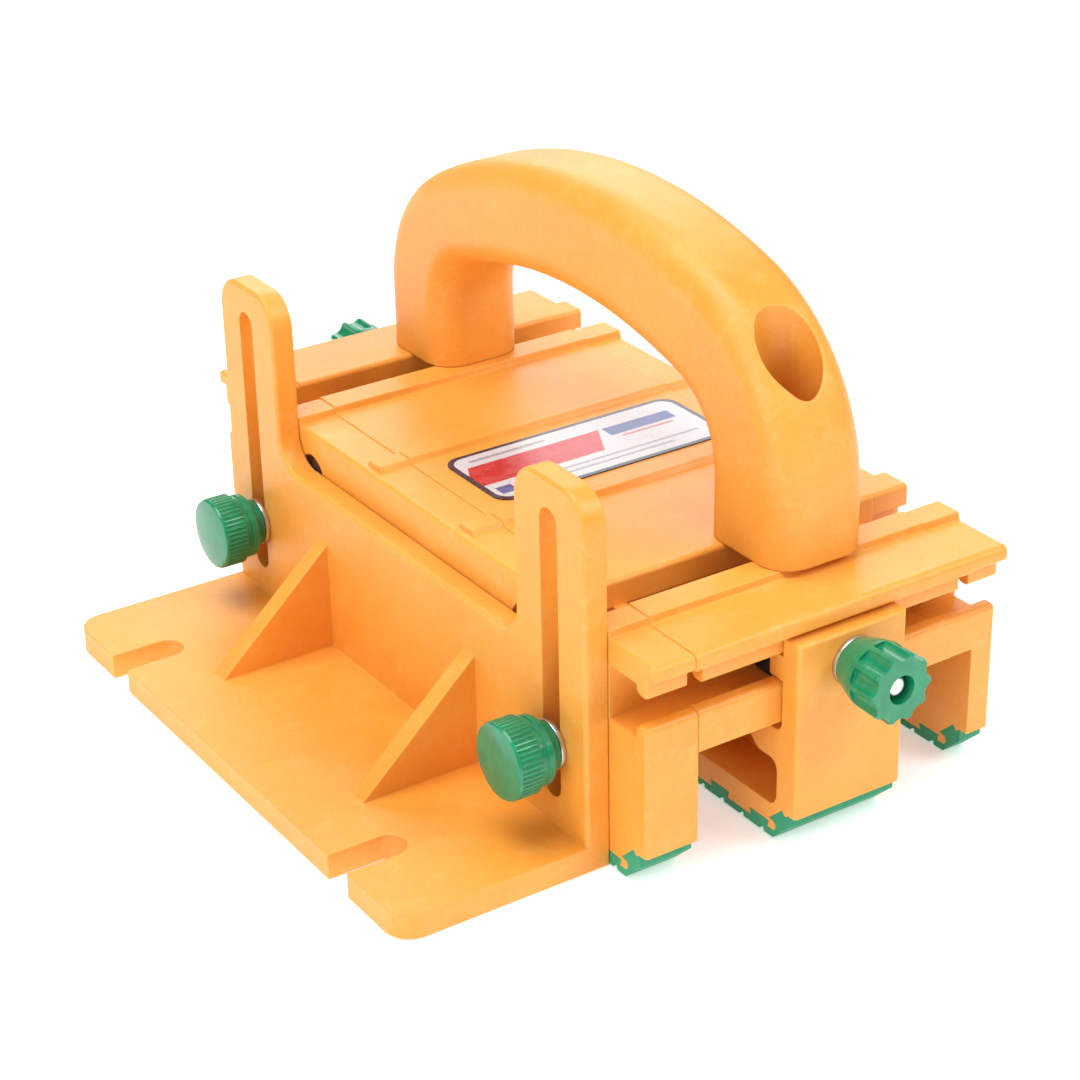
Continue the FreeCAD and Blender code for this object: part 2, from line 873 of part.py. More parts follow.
def soften_wells(grip):
    """Rounds the wells' mouths where they meet the curved shoulders."""
    mouth_edges = []
    for wall in grip.Faces:
        surface = wall.Surface
        if not isinstance(surface, Part.Cylinder) or not near(surface.Radius, SIZES["well_radius"], 1e-6):
            continue
        for edge in wall.Edges:
            lowest = min(edge.valueAt(edge.FirstParameter).z, edge.valueAt(edge.LastParameter).z)
            if lowest > top.value + 20:
                mouth_edges.append(edge)
    return grip.makeFillet(WELL_ROUND, mouth_edges)


handle = doc.addObject("Part::Feature", "handle_solid")
grip_shape = handle_shape().cut([bolt_well(y_at) for y_at in HANDLE_BOLT_Y.values()])
handle.Shape = soften_wells(grip_shape)
handle.Placement = FreeCAD.Placement(V(0, 0, HANDLE_LIFT), FreeCAD.Rotation())
part("handle", handle)

WASHER_THICK = 1.2
NUT_THICK = 4.0
bolts = []
washers = []
nuts = []
for side in (-1, 1):
    y_at = as_size(HANDLE_BOLT_Y[side])
    seat = top + HANDLE_LIFT + dim("well_floor")
    under = down(body_lip) - 0.2 - WASHER_THICK
    washers.append(ring("z", (well_middle, y_at, seat), 5.6, thread + 0.1, WASHER_THICK))
    washers.append(ring("z", (well_middle, y_at, under), 6.9, thread + 0.1, WASHER_THICK))
    nuts.append(
        cut(
            hexagon("z", (well_middle, y_at, under - NUT_THICK), 8.0, NUT_THICK),
            rod("z", (well_middle, y_at, under - NUT_THICK - 1), thread + 0.02, NUT_THICK + 2),
        )
    )
    shank_foot = under - NUT_THICK - 0.8
    head_foot = seat + WASHER_THICK
    shank = rod("z", (well_middle, y_at, shank_foot), thread, head_foot - shank_foot + 1)
    bolts.append(fuse(shank, hexagon("z", (well_middle, y_at, head_foot), 8.0, 3.6)))


def group(label, pieces):
    """Identical fasteners kept as separate solids in one named part."""
    doc.recompute()
    made = doc.addObject("Part::Compound", label + "_group")
    made.Links = pieces
    return part(label, made)


group("handle_washers", washers)
group("handle_nuts", nuts)
group("handle_bolts", bolts)


# ---------------------------------------------------------------- leg screws and inserts

def socket_screw(x_at, side, facing, length):
    """Button-head screw along X whose head looks outwards."""
    head_start = x_at if facing > 0 else x_at - HEAD_DEPTH + 1
    shank_start = x_at - length if facing > 0 else x_at
    head = rod("x", leg_screw_centre(side, head_start), HEAD_RADIUS, HEAD_DEPTH - 1)
    shank = rod("x", leg_screw_centre(side, shank_start), thread, length)
    socket_start = head_start + 1.2 if facing > 0 else head_start - 0.1
    socket = hexagon("x", leg_screw_centre(side, socket_start), 3.2, 1.9)
    return cut(fuse(head, shank), socket)


def leg_nut(side, x_at):
    """Hexagon nut on a leg screw."""
    return cut(
        hexagon("x", leg_screw_centre(side, x_at), 8.0, 3.6),
        rod("x", leg_screw_centre(side, x_at - 1), thread, 6),
    )


left_seat = left + HEAD_DEPTH
right_seat = right - HEAD_DEPTH
left_screw_length = dim("left_leg_width") + dim("end_wall") - HEAD_DEPTH + 5
right_screw_length = dim("right_foot_seam") + dim("end_wall") - HEAD_DEPTH + 5
group("left_leg_screws", [socket_screw(left_seat, s, -1, left_screw_length) for s in (-1, 1)])
group("right_leg_screws", [socket_screw(right_seat, s, 1, right_screw_length) for s in (-1, 1)])
group("left_leg_nuts", [leg_nut(s, wall_left[1]) for s in (-1, 1)])
group("right_leg_nuts", [leg_nut(s, wall_right[0] - 3.6) for s in (-1, 1)])

knob_inserts = []
for side in (-1, 1):
    start = (left, as_size(side * SIZES["knob_half"]), knob_height)
    knob_inserts.append(ring("x", start, INSERT_RADIUS, thread + 0.05, INSERT_LENGTH))
group("leg_thread_inserts", knob_inserts)


# ---------------------------------------------------------------- T-slot clamps of the centre leg

SLIDER_HALF = 10.9
SLIDER_DEPTH = 7.6
WASHER_RADIUS = 5.55
CLAMP_WASHER = 1.1
STAR_LENGTH = 13.6
STAR_START = CLAMP_WASHER + 0.2
BOLT_END = 13.4


def outward(side, from_y, length):
    """Start of a Y cylinder that grows away from the block's middle on the given side."""
    return as_size(side * from_y) if side > 0 else as_size(-from_y) - length


STAR_PROFILE = [
    (5.6, 0.0),
    (6.0, 1.2),
    (6.7, 3.2),
    (7.25, 5.2),
    (7.55, 7.0),
    (7.7, STAR_LENGTH - 0.4),
    (7.4, STAR_LENGTH),
]
STAR_BORE = 3.15
FLUTES = 10
FLUTE_RADIUS = 2.48
FLUTE_CENTRE = 8.98
FLUTE_START = 6.4


def star_knob(side):
    """Clamp knob that flares from its collar to ten fluted lobes, bored right through."""
    start = SIZES["plate_face"] + STAR_START
    rim = [(STAR_BORE, 0.0)] + STAR_PROFILE + [(STAR_BORE, STAR_LENGTH)]
    corners = [V(radius, side * (start + reach), 0) for radius, reach in rim]
    face = Part.Face(Part.makePolygon(corners + [corners[0]]))
    solid = face.revolve(V(), V(0, 1, 0), 360)
    flutes = []
    for k in range(FLUTES):
        angle = 2 * math.pi * (k + 0.5) / FLUTES
        across = FLUTE_CENTRE * math.cos(angle)
        centre = V(across, side * (start + FLUTE_START), FLUTE_CENTRE * math.sin(angle))
        flutes.append(Part.makeCylinder(FLUTE_RADIUS, STAR_LENGTH, centre, V(0, side, 0)))
    made = doc.addObject("Part::Feature", "star_solid")
    made.Shape = solid.cut(flutes)
    made.Placement = FreeCAD.Placement(V(centre_middle.value, 0, bolt_height.value), FreeCAD.Rotation())
    return made


def chamfered_shank(side, from_y, length):
    """Bolt shank along Y with a chamfer on its outer end."""
    chamfer = 0.6
    radius = thread.value
    profile = [(0, 0), (radius, 0), (radius, length - chamfer), (radius - chamfer, length), (0, length)]
    corners = [V(r, side * (from_y + reach), 0) for r, reach in profile]
    made = doc.addObject("Part::Feature", "shank_solid")
    made.Shape = Part.Face(Part.makePolygon(corners + [corners[0]])).revolve(V(), V(0, 1, 0), 360)
    made.Placement = FreeCAD.Placement(V(centre_middle.value, 0, bolt_height.value), FreeCAD.Rotation())
    return made


for side, name in ((-1, "near"), (1, "far")):
    low = outward(side, SIZES["channel_wall"] + 0.5, SLIDER_DEPTH)
    block = box(
        (centre_middle - SLIDER_HALF, centre_middle + SLIDER_HALF),
        (low, low + SLIDER_DEPTH),
        (down(dim("channel_floor")) + 0.3, down(dim("channel_top")) - 0.3),
    )
    head_at = outward(side, SIZES["channel_wall"] + 0.5, 3.4)
    pocket = hexagon("y", (centre_middle, head_at, bolt_height), 8.0, 3.4)
    passage = rod("y", (centre_middle, low, bolt_height), thread, SLIDER_DEPTH)
    part(name + "_slot_slider", cut(block, pocket, passage))
    head_back = SIZES["channel_wall"] + 0.5
    shank = chamfered_shank(side, head_back, SIZES["plate_face"] + BOLT_END - head_back)
    head = hexagon("y", (centre_middle, head_at, bolt_height), 8.0, 3.4)
    part(name + "_clamp_bolt", fuse(shank, head))
    washer_at = outward(side, SIZES["plate_face"] + 0.05, CLAMP_WASHER)
    part(
        name + "_clamp_washer",
        ring("y", (centre_middle, washer_at, bolt_height), WASHER_RADIUS, thread + 0.15, CLAMP_WASHER),
    )
    part(name + "_star_knob", star_knob(side))
    insert_at = outward(side, SIZES["plate_face"] + STAR_START, 9.0)
    part(
        name + "_star_insert",
        ring("y", (centre_middle, insert_at, bolt_height), STAR_BORE, thread + 0.05, 9.0),
    )


# ---------------------------------------------------------------- balance support

outer = left - slip
face = outer - dim("plate_thick")
support_left = left - dim("base_reach")
half_length = dim("plate_half")
arm_inner = dim("arm_inner")
wall_top = down(dim("wall_drop"))
arm_top = top + dim("arm_rise")
wall = prism(
    "YZ",
    [
        (-half_length, 0),
        (half_length, 0),
        (half_length, arm_top),
        (arm_inner, arm_top),
        (arm_inner, wall_top),
        (-arm_inner, wall_top),
        (-arm_inner, arm_top),
        (-half_length, arm_top),
    ],
    face,
    outer,
)
wall = rounded(
    wall,
    (7.5, lambda p, t: along_x(t) and near(p.z, arm_top.value)),
    (7.0, lambda p, t: along_x(t) and near(p.z, wall_top.value) and near(abs(p.y), SIZES["arm_inner"])),
)
base = box((support_left, outer), (-half_length, half_length), (0, dim("base_thick")))
base = rounded(base, (6.0, lambda p, t: along_z(t) and near(p.x, support_left.value)))
gussets = []
for side in (-1, 1):
    y_at = as_size(side * SIZES["gusset_middle"])
    half_thick = dim("gusset_thick") * 0.5
    corner = dim("base_thick") - 0.5
    gussets.append(
        prism(
            "XZ",
            [
                (face + 0.5, corner),
                (face + 0.5, corner + dim("gusset_rise")),
                (face, corner + dim("gusset_rise")),
                (face - dim("gusset_reach"), corner + 0.5),
                (face - dim("gusset_reach"), corner),
            ],
            y_at - half_thick,
            y_at + half_thick,
        )
    )
arm_slots = []
base_slots = []
slot_x = (face - 1, outer + 1)
for side in (-1, 1):
    y_at = as_size(side * SIZES["knob_half"])
    low_z = down(dim("arm_slot_bottom"))
    high_z = top + dim("arm_slot_top")
    width = (y_at - dim("arm_slot"), y_at + dim("arm_slot"))
    arm_slots.append(box(slot_x, width, (low_z, high_z)))
    for z_at in (low_z, high_z):
        arm_slots.append(rod("x", (face - 1, y_at, z_at), dim("arm_slot"), dim("plate_thick") + 2))
    slot_y = as_size(side * SIZES["base_slot_middle"])
    slot_end = left - dim("base_slot_end")
    width = (slot_y - dim("base_slot"), slot_y + dim("base_slot"))
    base_slots.append(box((support_left - 1, slot_end), width, (-1, dim("base_thick") + 1)))
    base_slots.append(rod("z", (slot_end, slot_y, -1), dim("base_slot"), dim("base_thick") + 2))
support = cut(fuse(wall, base, *gussets), *(arm_slots + base_slots))


def on_rim(p, t):
    """Edges round the wall's face, away from its slots and gussets."""
    across = abs(p.y)
    slot_top = top.value + SIZES["arm_slot_top"] + SIZES["arm_slot"]
    slot_bottom = down(dim("arm_slot_bottom")).value - SIZES["arm_slot"]
    on_slot = near(abs(across - SIZES["knob_half"]), SIZES["arm_slot"], 0.6)
    return (
        near(p.x, face.value)
        and abs(t.x) < 0.02
        and p.z > SIZES["base_thick"] + 12
        and not on_slot
        and not near(p.z, slot_top, 0.5)
        and not near(p.z, slot_bottom, 0.5)
        and abs(across - SIZES["gusset_middle"]) > 4.0
    )


support = rounded(support, (1.0, on_rim))
part("balance_support", support)


# ---------------------------------------------------------------- thumb knobs

THUMB_WASHER = 1.1
# Radius and distance from the knob's back: neck, grooved collar, knurled rim, domed face.
THUMB_PROFILE = [
    (5.5, 0.0),
    (5.5, 2.2),
    (7.2, 2.3),
    (7.6, 2.7),
    (7.6, 3.9),
    (7.25, 4.1),
    (7.25, 4.4),
    (7.6, 4.6),
    (7.6, 5.6),
    (8.4, 5.9),
    (8.4, 10.9),
    (8.1, 11.5),
    (7.7, 11.6),
    (4.5, 12.05),
    (0.0, 12.2),
]
KNURLS = 48
STUD_REACH = 8.5


def thumb_knob(side):
    """Round knob with a smooth neck, a grooved collar and a straight-knurled rim."""
    start = face.value - THUMB_WASHER - 0.3
    corners = [V()] + [V(-reach, 0, radius) for radius, reach in THUMB_PROFILE]
    solid = Part.Face(Part.makePolygon(corners + [corners[0]])).revolve(V(), V(1, 0, 0), 360)
    tools = [Part.makeCylinder(thread.value + 0.02, 9.0, V(-9.0, 0, 0), V(1, 0, 0))]
    for k in range(KNURLS):
        angle = 2 * math.pi * k / KNURLS
        centre = V(-10.9, 8.5 * math.cos(angle), 8.5 * math.sin(angle))
        tools.append(Part.makeCylinder(0.36, 5.1, centre, V(1, 0, 0)))
    made = doc.addObject("Part::Feature", "thumb_solid")
    made.Shape = solid.cut(tools)
    place = V(start, side * SIZES["knob_half"], knob_height.value)
    made.Placement = FreeCAD.Placement(place, FreeCAD.Rotation())
    return made


for side, name in ((-1, "near"), (1, "far")):
    y_at = as_size(side * SIZES["knob_half"])
    part(name + "_thumb_knob", thumb_knob(side))
    stud_start = face - THUMB_WASHER - 0.3 - 8.9
    stud_length = left + STUD_REACH - stud_start
    part(name + "_thumb_stud", rod("x", (stud_start, y_at, knob_height), thread, stud_length))
    washer_start = face - THUMB_WASHER - 0.15
    part(
        name + "_thumb_washer",
        ring("x", (washer_start, y_at, knob_height), WASHER_RADIUS, thread + 0.15, THUMB_WASHER),
    )


# ---------------------------------------------------------------- deck label

label_x = left + 15.3
label_z = down(dim("panel_drop"))
plate = box(
    (label_x, label_x + dim("label_length")),
    (-dim("label_width") * 0.5, dim("label_width") * 0.5),
    (label_z, label_z + dim("label_thick")),
)
part("deck_label", rounded(plate, (4.0, lambda p, t: along_z(t))))


# ---------------------------------------------------------------- checks and files

doc.recompute()
for item in doc.Objects:
    if "Invalid" in item.State or "Error" in item.State:
        raise RuntimeError("%s (%s) is %s" % (item.Name, item.Label, item.State))
os.makedirs("parts", exist_ok=True)
for label, piece in parts.items():
    shape = piece.Shape
    if shape.isNull() or not shape.isValid() or not shape.Solids:
        raise RuntimeError(label + " is not a valid solid")
    shape.exportStep(os.path.join("parts", label + ".step"))
    extent = shape.BoundBox
    print(
        "%-20s solids %d volume %9.1f  x %7.2f %7.2f  y %7.2f %7.2f  z %7.2f %7.2f"
        % (
            label,
            len(shape.Solids),
            shape.Volume,
            extent.XMin,
            extent.XMax,
            extent.YMin,
            extent.YMax,
            extent.ZMin,
            extent.ZMax,
        )
    )
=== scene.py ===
import json
import math

import bpy
from mathutils import Matrix, Vector


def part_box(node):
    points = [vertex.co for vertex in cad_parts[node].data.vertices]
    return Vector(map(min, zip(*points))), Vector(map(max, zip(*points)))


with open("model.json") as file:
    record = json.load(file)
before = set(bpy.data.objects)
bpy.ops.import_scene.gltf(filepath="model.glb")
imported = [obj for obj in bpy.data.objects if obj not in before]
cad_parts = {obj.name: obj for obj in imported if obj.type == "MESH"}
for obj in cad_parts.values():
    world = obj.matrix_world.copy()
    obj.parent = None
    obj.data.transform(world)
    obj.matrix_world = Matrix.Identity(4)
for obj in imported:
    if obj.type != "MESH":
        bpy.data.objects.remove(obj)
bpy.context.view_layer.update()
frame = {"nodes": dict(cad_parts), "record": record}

nodes = frame["nodes"]
MM = 0.001


# ---------------------------------------------------------------- material helpers

class Shader:
    """A new material with short calls for adding and joining nodes."""

    def __init__(self, name):
        self.material = bpy.data.materials.new(name)
        self.material.use_nodes = True
        self.tree = self.material.node_tree
        self.tree.nodes.clear()
        output = self.add("ShaderNodeOutputMaterial")
        self.surface = self.add("ShaderNodeBsdfPrincipled")
        self.join(self.surface.outputs["BSDF"], output.inputs["Surface"])
        self.place = self.add("ShaderNodeTexCoord").outputs["Object"]

    def add(self, kind, **settings):
        node = self.tree.nodes.new(kind)
        for key, value in settings.items():
            setattr(node, key, value)
        return node

    def join(self, source, target):
        self.tree.links.new(source, target)

    def drive(self, socket, source):
        """Leads source into a socket of the surface shader."""
        self.join(source, self.surface.inputs[socket])

    def fix(self, socket, value):
        """Sets a socket of the surface shader that is the same all over."""
        self.surface.inputs[socket].default_value = value

    def noise(self, scale, detail=3.0, roughness=0.55, stretch=None):
        node = self.add("ShaderNodeTexNoise")
        node.inputs["Scale"].default_value = scale
        node.inputs["Detail"].default_value = detail
        node.inputs["Roughness"].default_value = roughness
        place = self.place
        if stretch:
            mapping = self.add("ShaderNodeMapping")
            mapping.inputs["Scale"].default_value = stretch
            self.join(place, mapping.inputs["Vector"])
            place = mapping.outputs["Vector"]
        self.join(place, node.inputs["Vector"])
        return node.outputs["Fac"]

    def ramp(self, factor, low, high, start=0.0, end=1.0):
        """Maps factor between low and high onto start to end."""
        node = self.add("ShaderNodeMapRange")
        node.inputs["From Min"].default_value = low
        node.inputs["From Max"].default_value = high
        node.inputs["To Min"].default_value = start
        node.inputs["To Max"].default_value = end
        self.join(factor, node.inputs["Value"])
        return node.outputs["Result"]

    def spread(self, factor, start, end):
        """Maps a factor that already runs from 0 to 1 onto start to end."""
        return self.ramp(factor, 0.0, 1.0, start, end)

    def math(self, operation, a, b=0.0):
        node = self.add("ShaderNodeMath", operation=operation)
        for socket, value in zip(node.inputs, (a, b)):
            if isinstance(value, (int, float)):
                socket.default_value = value
            else:
                self.join(value, socket)
        return node.outputs["Value"]

    def blend(self, factor, a, b):
        """Colour a where factor is 0 and b where it is 1."""
        node = self.add("ShaderNodeMix", data_type="RGBA")
        self.join(factor, node.inputs["Factor"])
        for socket, value in ((node.inputs[6], a), (node.inputs[7], b)):
            if isinstance(value, (tuple, list)):
                socket.default_value = (*value, 1.0)
            else:
                self.join(value, socket)
        return node.outputs[2]

    def tint(self, tone, mask, strength, colour):
        """Lays colour over tone where mask is 1, at the given strength."""
        return self.blend(self.math("MULTIPLY", mask, strength), tone, colour)

    def bump(self, height, distance, strength, normal=None):
        node = self.add("ShaderNodeBump")
        node.inputs["Distance"].default_value = distance
        node.inputs["Strength"].default_value = strength
        self.join(height, node.inputs["Height"])
        if normal is not None:
            self.join(normal, node.inputs["Normal"])
        return node.outputs["Normal"]

    def rounded_normal(self, radius, samples=6):
        """Surface normal with the last hard edges eased."""
        bevel = self.add("ShaderNodeBevel", samples=samples)
        bevel.inputs["Radius"].default_value = radius
        return bevel.outputs["Normal"]

    def edges(self, radius):
        """1 on convex and concave edges, 0 on open faces."""
        shape = self.add("ShaderNodeNewGeometry")
        dot = self.add("ShaderNodeVectorMath", operation="DOT_PRODUCT")
        self.join(self.rounded_normal(radius, samples=4), dot.inputs[0])
        self.join(shape.outputs["Normal"], dot.inputs[1])
        return self.ramp(dot.outputs["Value"], 0.99, 0.8)


# ---------------------------------------------------------------- materials

def yellow_plastic():
    """Moulded yellow-orange plastic: cloudy colour, flow marks, specks, and a painted highlight
    that tints every edge paler.
    """
    s = Shader("yellow_plastic")
    cloud = s.ramp(s.noise(34.0, 4.0, 0.6), 0.35, 0.65)
    flow = s.ramp(s.noise(16.0, 3.0, 0.5, (1.0, 0.35, 2.4)), 0.35, 0.65)
    speck = s.ramp(s.noise(1400.0, 2.0), 0.35, 0.65)
    dirt = s.ramp(s.noise(230.0, 5.0, 0.75), 0.66, 0.74)
    chalk = s.ramp(s.noise(150.0, 5.0, 0.8), 0.52, 0.70)
    tone = s.blend(cloud, (0.84, 0.330, 0.036), (0.88, 0.380, 0.056))
    for mask, strength, colour in (
        (flow, 0.5, (0.91, 0.41, 0.065)),
        (speck, 0.24, (0.76, 0.28, 0.028)),
        (chalk, 0.26, (0.93, 0.55, 0.20)),
        (dirt, 0.22, (0.55, 0.20, 0.03)),
        # Painted highlight: every edge, convex and concave, is tinted paler.
        (s.edges(0.7 * MM), 0.35, (0.97, 0.50, 0.13)),
    ):
        tone = s.tint(tone, mask, strength, colour)
    s.drive("Base Color", tone)
    s.drive("Roughness", s.math("ADD", s.spread(cloud, 0.38, 0.46), s.spread(speck, -0.03, 0.05)))
    grain = s.bump(s.noise(2600.0, 3.0, 0.7), 0.05 * MM, 0.6, s.rounded_normal(0.4 * MM))
    s.drive("Normal", s.bump(s.noise(60.0, 2.0), 0.4 * MM, 0.25, grain))
    s.fix("Specular IOR Level", 0.5)
    s.fix("Subsurface Weight", 0.12)
    s.fix("Subsurface Radius", (1.0, 0.45, 0.12))
    s.fix("Subsurface Scale", 1.6 * MM)
    return s.material


def green_plastic():
    """Glossy green knob plastic with faint moulding flow, fine scuffs and a painted highlight that
    tints its edges lighter.
    """
    s = Shader("green_plastic")
    flow = s.ramp(s.noise(220.0, 3.0, 0.6), 0.35, 0.65)
    tone = s.blend(flow, (0.002, 0.205, 0.088), (0.006, 0.270, 0.120))
    # Painted highlight: every edge, convex and concave, is tinted lighter green.
    s.drive("Base Color", s.tint(tone, s.edges(0.4 * MM), 0.3, (0.05, 0.42, 0.21)))
    scuff = s.ramp(s.noise(900.0, 4.0, 0.7, (1.0, 4.0, 1.0)), 0.4, 0.75)
    s.drive("Roughness", s.spread(scuff, 0.17, 0.30))
    s.drive("Normal", s.bump(s.noise(700.0, 3.0), 0.06 * MM, 0.4, s.rounded_normal(0.2 * MM)))
    s.fix("Coat Weight", 0.12)
    s.fix("Coat Roughness", 0.1)
    return s.material


def green_rubber():
    """Matt green rubber, a little dusty in its pores."""
    s = Shader("green_rubber")
    pores = s.ramp(s.noise(1100.0, 4.0, 0.7), 0.4, 0.7)
    cloud = s.ramp(s.noise(70.0, 3.0), 0.35, 0.65)
    tone = s.blend(cloud, (0.012, 0.27, 0.125), (0.025, 0.34, 0.165))
    s.drive("Base Color", s.tint(tone, pores, 0.22, (0.08, 0.43, 0.25)))
    s.drive("Roughness", s.spread(pores, 0.55, 0.8))
    grain = s.noise(1900.0, 3.0, 0.7)
    s.drive("Normal", s.bump(grain, 0.1 * MM, 0.7, s.rounded_normal(0.2 * MM)))
    return s.material


def zinc_steel():
    """Zinc-plated steel with turning marks and cloudy passivation."""
    s = Shader("zinc_steel")
    marks = s.noise(300.0, 3.0, 0.7, (9.0, 1.0, 1.0))
    cloud = s.ramp(s.noise(400.0, 3.0), 0.35, 0.65)
    s.drive("Base Color", s.blend(cloud, (0.56, 0.57, 0.60), (0.74, 0.74, 0.73)))
    s.drive("Roughness", s.ramp(marks, 0.3, 0.7, 0.24, 0.42))
    s.drive("Normal", s.bump(marks, 0.04 * MM, 0.5))
    s.fix("Metallic", 1.0)
    return s.material


def brass_insert():
    """Drawn brass, with marks along the bush."""
    s = Shader("brass_insert")
    marks = s.noise(420.0, 3.0, 0.6, (1.0, 1.0, 7.0))
    s.drive("Base Color", s.blend(s.ramp(marks, 0.3, 0.7), (0.60, 0.42, 0.16), (0.76, 0.58, 0.27)))
    s.drive("Roughness", s.ramp(marks, 0.3, 0.7, 0.25, 0.42))
    s.fix("Metallic", 1.0)
    return s.material


def black_plastic():
    """Satin black plastic of the two sliders."""
    s = Shader("black_plastic")
    grain = s.ramp(s.noise(1200.0, 3.0, 0.6), 0.35, 0.7)
    s.drive("Base Color", s.blend(grain, (0.012, 0.012, 0.014), (0.03, 0.03, 0.032)))
    s.drive("Roughness", s.spread(grain, 0.42, 0.6))
    s.drive("Normal", s.bump(s.noise(2000.0), 0.06 * MM, 0.6))
    return s.material


# The printed film, in metres from its middle: x from, x to, y from, y to and colour.
LABEL_MARGIN = 1.2 * MM
LABEL_CORNER = 3.4 * MM
LABEL_RIM = (0.018, 0.02, 0.05)
LABEL_PANEL = (0.60, 0.61, 0.65)
BAND_COLOUR = (0.52, 0.02, 0.035)
BAND_END = 0.004
BAND_SLANT = 0.5
BAND_EDGES = (-0.0035, 0.0062)
LABEL_BARS = (
    (-0.026, -0.006, 0.0082, 0.0092, (0.30, 0.31, 0.36)),
    (0.008, 0.026, 0.0020, 0.0062, (0.05, 0.09, 0.30)),
    (0.010, 0.024, 0.0002, 0.0009, (0.55, 0.08, 0.08)),
    (-0.022, 0.026, -0.0066, -0.0058, (0.28, 0.29, 0.33)),
    (-0.022, 0.018, -0.0088, -0.0080, (0.28, 0.29, 0.33)),
    (-0.0285, -0.0245, -0.0092, -0.0058, (0.05, 0.09, 0.30)),
)


def label_film():
    """Printed film: dark rim, pale panel, slanted red band and plain bars."""
    s = Shader("label_film")
    low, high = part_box("deck_label")
    middle = (low + high) / 2
    half = (high - low) / 2
    parts = s.add("ShaderNodeSeparateXYZ")
    s.join(s.place, parts.inputs["Vector"])
    x = s.math("SUBTRACT", parts.outputs["X"], middle.x)
    y = s.math("SUBTRACT", parts.outputs["Y"], middle.y)

    def inside(value, start, end):
        above = s.math("GREATER_THAN", value, start)
        return s.math("MULTIPLY", above, s.math("LESS_THAN", value, end))

    def corner_square(value, size):
        """Square of how far value reaches into a rounded corner."""
        straight = size - LABEL_MARGIN - LABEL_CORNER
        reach = s.math("MAXIMUM", s.math("SUBTRACT", s.math("ABSOLUTE", value), straight), 0.0)
        return s.math("MULTIPLY", reach, reach)

    corner = s.math("ADD", corner_square(x, half.x), corner_square(y, half.y))
    panel = s.math("LESS_THAN", corner, LABEL_CORNER * LABEL_CORNER)
    tone = s.blend(panel, LABEL_RIM, LABEL_PANEL)
    slant = s.math("SUBTRACT", x, s.math("MULTIPLY", y, BAND_SLANT))
    band = s.math("MULTIPLY", inside(slant, -half.x, BAND_END), inside(y, *BAND_EDGES))
    tone = s.blend(s.math("MULTIPLY", band, panel), tone, BAND_COLOUR)
    for x0, x1, y0, y1, colour in LABEL_BARS:
        bar = s.math("MULTIPLY", inside(x, x0, x1), inside(y, y0, y1))
        tone = s.blend(bar, tone, colour)
    dust = s.ramp(s.noise(300.0, 4.0), 0.4, 0.75)
    s.drive("Base Color", s.tint(tone, dust, 0.06, (0.75, 0.68, 0.55)))
    s.drive("Roughness", s.spread(dust, 0.22, 0.36))
    s.drive("Normal", s.bump(s.noise(160.0, 2.0), 0.1 * MM, 0.3))
    return s.material


# ---------------------------------------------------------------- CAD nodes: softened edges

WELD = 0.004 * MM
FLAT_ANGLE = math.radians(0.4)
BEVEL_ANGLE = math.radians(32)
CRISP_ANGLE = math.radians(38)


def geometry_group(name, build):
    """Geometry-node group with one geometry in and out, filled in by build."""
    group = bpy.data.node_groups.new(name, "GeometryNodeTree")
    for way in ("INPUT", "OUTPUT"):
        group.interface.new_socket("Geometry", in_out=way, socket_type="NodeSocketGeometry")
    start = group.nodes.new("NodeGroupInput")
    end = group.nodes.new("NodeGroupOutput")
    group.links.new(build(group, start.outputs[0]), end.inputs[0])
    return group


def clean_mesh(group, geometry):
    """Drops stored normals and joins the split corners of a tessellated solid."""
    drop = group.nodes.new("GeometryNodeRemoveAttribute")
    drop.inputs["Name"].default_value = "custom_normal"
    group.links.new(geometry, drop.inputs["Geometry"])
    merge = group.nodes.new("GeometryNodeMergeByDistance")
    merge.inputs["Distance"].default_value = WELD
    group.links.new(drop.outputs["Geometry"], merge.inputs["Geometry"])
    return merge.outputs["Geometry"]


def smooth_by_angle(group, geometry):
    """Smooth faces, with edges sharper than the limit kept crisp."""
    faces = group.nodes.new("GeometryNodeSetShadeSmooth")
    faces.domain = "FACE"
    group.links.new(geometry, faces.inputs["Geometry"])
    angle = group.nodes.new("GeometryNodeInputMeshEdgeAngle")
    sharp = group.nodes.new("FunctionNodeCompare")
    sharp.data_type = "FLOAT"
    sharp.operation = "GREATER_THAN"
    sharp.inputs[1].default_value = CRISP_ANGLE
    group.links.new(angle.outputs["Unsigned Angle"], sharp.inputs[0])
    edges = group.nodes.new("GeometryNodeSetShadeSmooth")
    edges.domain = "EDGE"
    edges.inputs["Shade Smooth"].default_value = False
    group.links.new(faces.outputs["Geometry"], edges.inputs["Geometry"])
    group.links.new(sharp.outputs["Result"], edges.inputs["Selection"])
    return edges.outputs["Geometry"]


CLEAN = geometry_group("clean_mesh", clean_mesh)
SMOOTH = geometry_group("smooth_by_angle", smooth_by_angle)


def soften(obj, width):
    """Rounds the hard edges of a CAD solid with modifiers, leaving its mesh as it is."""
    obj.modifiers.new("clean", "NODES").node_group = CLEAN
    flat = obj.modifiers.new("flat", "DECIMATE")
    flat.decimate_type = "DISSOLVE"
    flat.angle_limit = FLAT_ANGLE
    bevel = obj.modifiers.new("bevel", "BEVEL")
    bevel.width = width
    bevel.segments = 2
    bevel.limit_method = "ANGLE"
    bevel.angle_limit = BEVEL_ANGLE
    bevel.use_clamp_overlap = True
    obj.modifiers.new("smooth", "NODES").node_group = SMOOTH
    normals = obj.modifiers.new("normals", "WEIGHTED_NORMAL")
    normals.keep_sharp = True
    normals.weight = 60


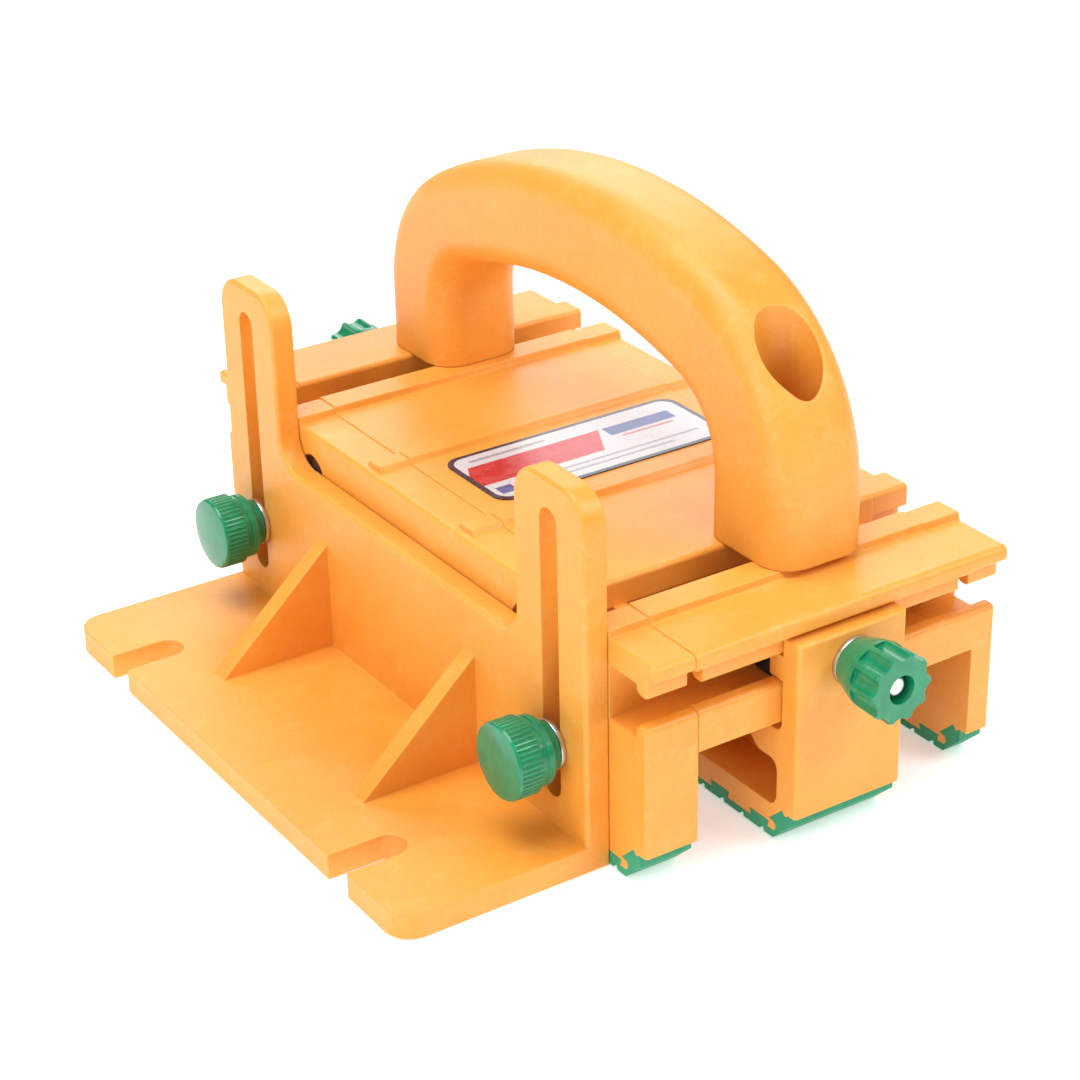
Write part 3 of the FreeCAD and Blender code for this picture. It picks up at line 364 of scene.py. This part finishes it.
# Each material slot of the record: its finish and how far its edges are rounded.
FINISHES = {
    "yellow_plastic": (yellow_plastic(), 0.45 * MM),
    "green_plastic": (green_plastic(), 0.2 * MM),
    "green_rubber": (green_rubber(), 0.2 * MM),
    "zinc_steel": (zinc_steel(), 0.2 * MM),
    "brass_insert": (brass_insert(), 0.1 * MM),
    "black_plastic": (black_plastic(), 0.3 * MM),
    "label_film": (label_film(), 0.05 * MM),
}

slot_of = {entry["node"]: entry["material_slot"] for entry in frame["record"]["subparts"]}
for name, obj in nodes.items():
    material, edge_round = FINISHES[slot_of[name]]
    obj.data.materials.clear()
    obj.data.materials.append(material)
    soften(obj, edge_round)


# ---------------------------------------------------------------- stage and light

WHITE = (1.0, 1.0, 1.0, 1.0)
FLOOR_SIZE = 14.0
FLOOR_DROP = 0.4 * MM
WORLD_STRENGTH = 0.22
AIM = Vector((0.0, 0.0, 0.045))

bpy.ops.mesh.primitive_plane_add(size=FLOOR_SIZE, location=(0, 0, -FLOOR_DROP))
floor = bpy.context.object
floor.name = "floor"
paper = Shader("floor_paper")
paper.fix("Base Color", (0.93, 0.93, 0.93, 1.0))
paper.fix("Roughness", 0.9)
paper.fix("Specular IOR Level", 0.1)
paper.fix("Emission Color", WHITE)
paper.fix("Emission Strength", 0.42)
floor.data.materials.append(paper.material)

world = bpy.data.worlds.new("studio")
world.use_nodes = True
background = world.node_tree.nodes["Background"]
background.inputs["Color"].default_value = WHITE
background.inputs["Strength"].default_value = WORLD_STRENGTH
bpy.context.scene.world = world


def soft_light(name, place, size, power):
    """Round area light at place, turned towards the middle of the block."""
    data = bpy.data.lights.new(name, "AREA")
    data.shape = "DISK"
    data.size = size
    data.energy = power
    lamp = bpy.data.objects.new(name, data)
    lamp.location = place
    lamp.rotation_euler = (AIM - Vector(place)).to_track_quat("-Z", "Y").to_euler()
    bpy.context.scene.collection.objects.link(lamp)


soft_light("key", (0.75, -1.0, 1.25), 0.9, 14.0)
soft_light("top", (-0.3, 0.1, 1.6), 1.2, 20.0)
soft_light("fill", (-1.4, -0.6, 0.8), 1.2, 12.0)
soft_light("sheen", (0.9, 1.45, 1.0), 1.5, 15.0)


# ---------------------------------------------------------------- camera

# It stands at azimuth -33 degrees, 26.8 degrees above the floor, with a slight roll.
AZIMUTH = math.radians(-33.0)
ELEVATION = math.radians(26.84)
ROLL = math.radians(-1.19)
EYE = Vector((-276.54, -445.43, 302.30)) * MM
SENSOR_WIDTH = 36.0
LENS = 88.13
CLIP_END = 50.0

level = math.cos(ELEVATION)
back = Vector((math.sin(AZIMUTH) * level, -math.cos(AZIMUTH) * level, math.sin(ELEVATION)))
side = Vector((0, 0, 1)).cross(back).normalized()
rise = back.cross(side)
turned_side = side * math.cos(ROLL) + rise * math.sin(ROLL)
turned_rise = rise * math.cos(ROLL) - side * math.sin(ROLL)
turn = Matrix((turned_side, turned_rise, back)).transposed().to_4x4()

camera_data = bpy.data.cameras.new("camera")
camera_data.sensor_width = SENSOR_WIDTH
camera_data.lens = LENS
camera_data.clip_end = CLIP_END
camera = bpy.data.objects.new("camera", camera_data)
camera.matrix_world = Matrix.Translation(EYE) @ turn
bpy.context.scene.collection.objects.link(camera)
bpy.context.scene.camera = camera
bpy.context.scene.view_settings.view_transform = "Standard"
